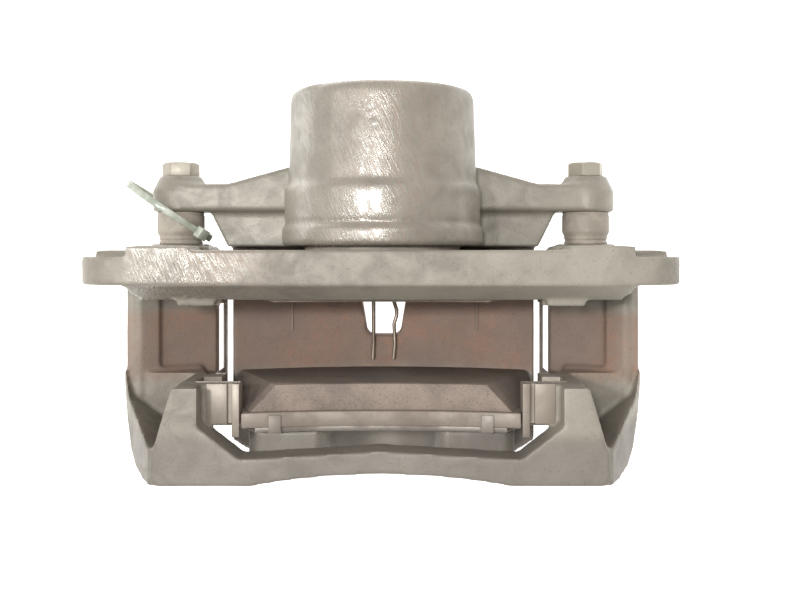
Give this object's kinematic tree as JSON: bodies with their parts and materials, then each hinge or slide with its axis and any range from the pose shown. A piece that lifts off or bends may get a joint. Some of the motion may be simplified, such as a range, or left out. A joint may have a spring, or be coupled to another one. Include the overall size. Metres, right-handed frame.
{
  "type": "brake caliper",
  "caption": "Single-piston floating disc brake caliper with its bracket, pads, abutment clips, sliding pins, rubber boots and a looped strap.",
  "frame": {"origin": "midway between the bracket's two mounting holes, on the mounting face", "axes": "+X runs from mounting hole to mounting hole, +Y points inboard along the piston and the guide pins, +Z points from the bridge to the wheel hub"},
  "size_m": [0.2158, 0.1523, 0.093],
  "materials": {
    "cast_bracket": "oily cast iron, worn",
    "cast_housing": "oily cast iron with light rust",
    "clip_steel": "stainless sheet, dusty",
    "pin_steel": "plated and greased",
    "bolt_steel": "dull zinc",
    "boot_rubber": "matt rubber, dusty",
    "bushing_rubber": "matt",
    "seal_rubber": "satin",
    "piston_steel": "ground and plated",
    "bleeder_steel": "yellow zinc",
    "cap_rubber": "matt",
    "plate_steel": "stamped steel, dusty paint",
    "friction": "grainy friction compound",
    "shim_steel": "coated sheet steel",
    "spring_steel": "dark spring wire",
    "tie_plastic": "grey-green nylon"
  },
  "bodies": {
    "bracket": {"bracket": "cast_bracket", "clip_left": "clip_steel", "clip_right": "clip_steel"},
    "housing": {"caliper_housing": "cast_housing", "guide_pin_left": "pin_steel", "guide_pin_right": "pin_steel", "pin_bushing": "bushing_rubber", "pin_boot_left": "boot_rubber", "pin_boot_right": "boot_rubber", "pin_bolt_left": "bolt_steel", "pin_bolt_right": "bolt_steel", "piston_seal": "seal_rubber", "dust_boot": "boot_rubber", "boot_ring": "spring_steel", "pad_spring": "spring_steel", "spring_rivet": "bolt_steel", "cable_tie": "tie_plastic"},
    "piston": {"piston": "piston_steel"},
    "outboard_pad": {"outboard_plate": "plate_steel", "outboard_friction": "friction", "outboard_shim": "shim_steel"},
    "inboard_pad": {"inboard_plate": "plate_steel", "inboard_friction": "friction", "inboard_shim": "shim_steel"},
    "bleeder": {"bleeder_screw": "bleeder_steel"},
    "bleeder_cap": {"bleeder_cap": "cap_rubber"}
  },
  "joints": [
    {"name": "housing_slide", "type": "slide", "parent": "bracket", "child": "housing", "axis": [0, 1, 0], "range_m": [0, 0.009], "deforming": ["pin_boot_left", "pin_boot_right"]},
    {"name": "outboard_pad_slide", "type": "slide", "parent": "bracket", "child": "outboard_pad", "axis": [0, 1, 0], "range_m": [0, 0.009]},
    {"name": "inboard_pad_slide", "type": "slide", "parent": "bracket", "child": "inboard_pad", "axis": [0, 1, 0], "range_m": [-0.009, 0]},
    {"name": "piston_slide", "type": "slide", "parent": "housing", "child": "piston", "axis": [0, 1, 0], "range_m": [-0.018, 0], "deforming": ["dust_boot"]},
    {"name": "bleeder_turn", "type": "hinge", "parent": "housing", "child": "bleeder", "pos_m": [-0.027, 0.0485, -0.066], "axis": [0, 1, 0], "range_deg": [0, 180]},
    {"name": "cap_pull", "type": "slide", "parent": "bleeder", "child": "bleeder_cap", "axis": [0, 1, 0], "range_m": [0, 0.012]}
  ],
  "couplings": [
    {"joint": "outboard_pad_slide", "follows": "housing_slide", "ratio": 1},
    {"joint": "inboard_pad_slide", "follows": "housing_slide", "ratio": -1},
    {"joint": "piston_slide", "follows": "housing_slide", "ratio": -2}
  ]
}
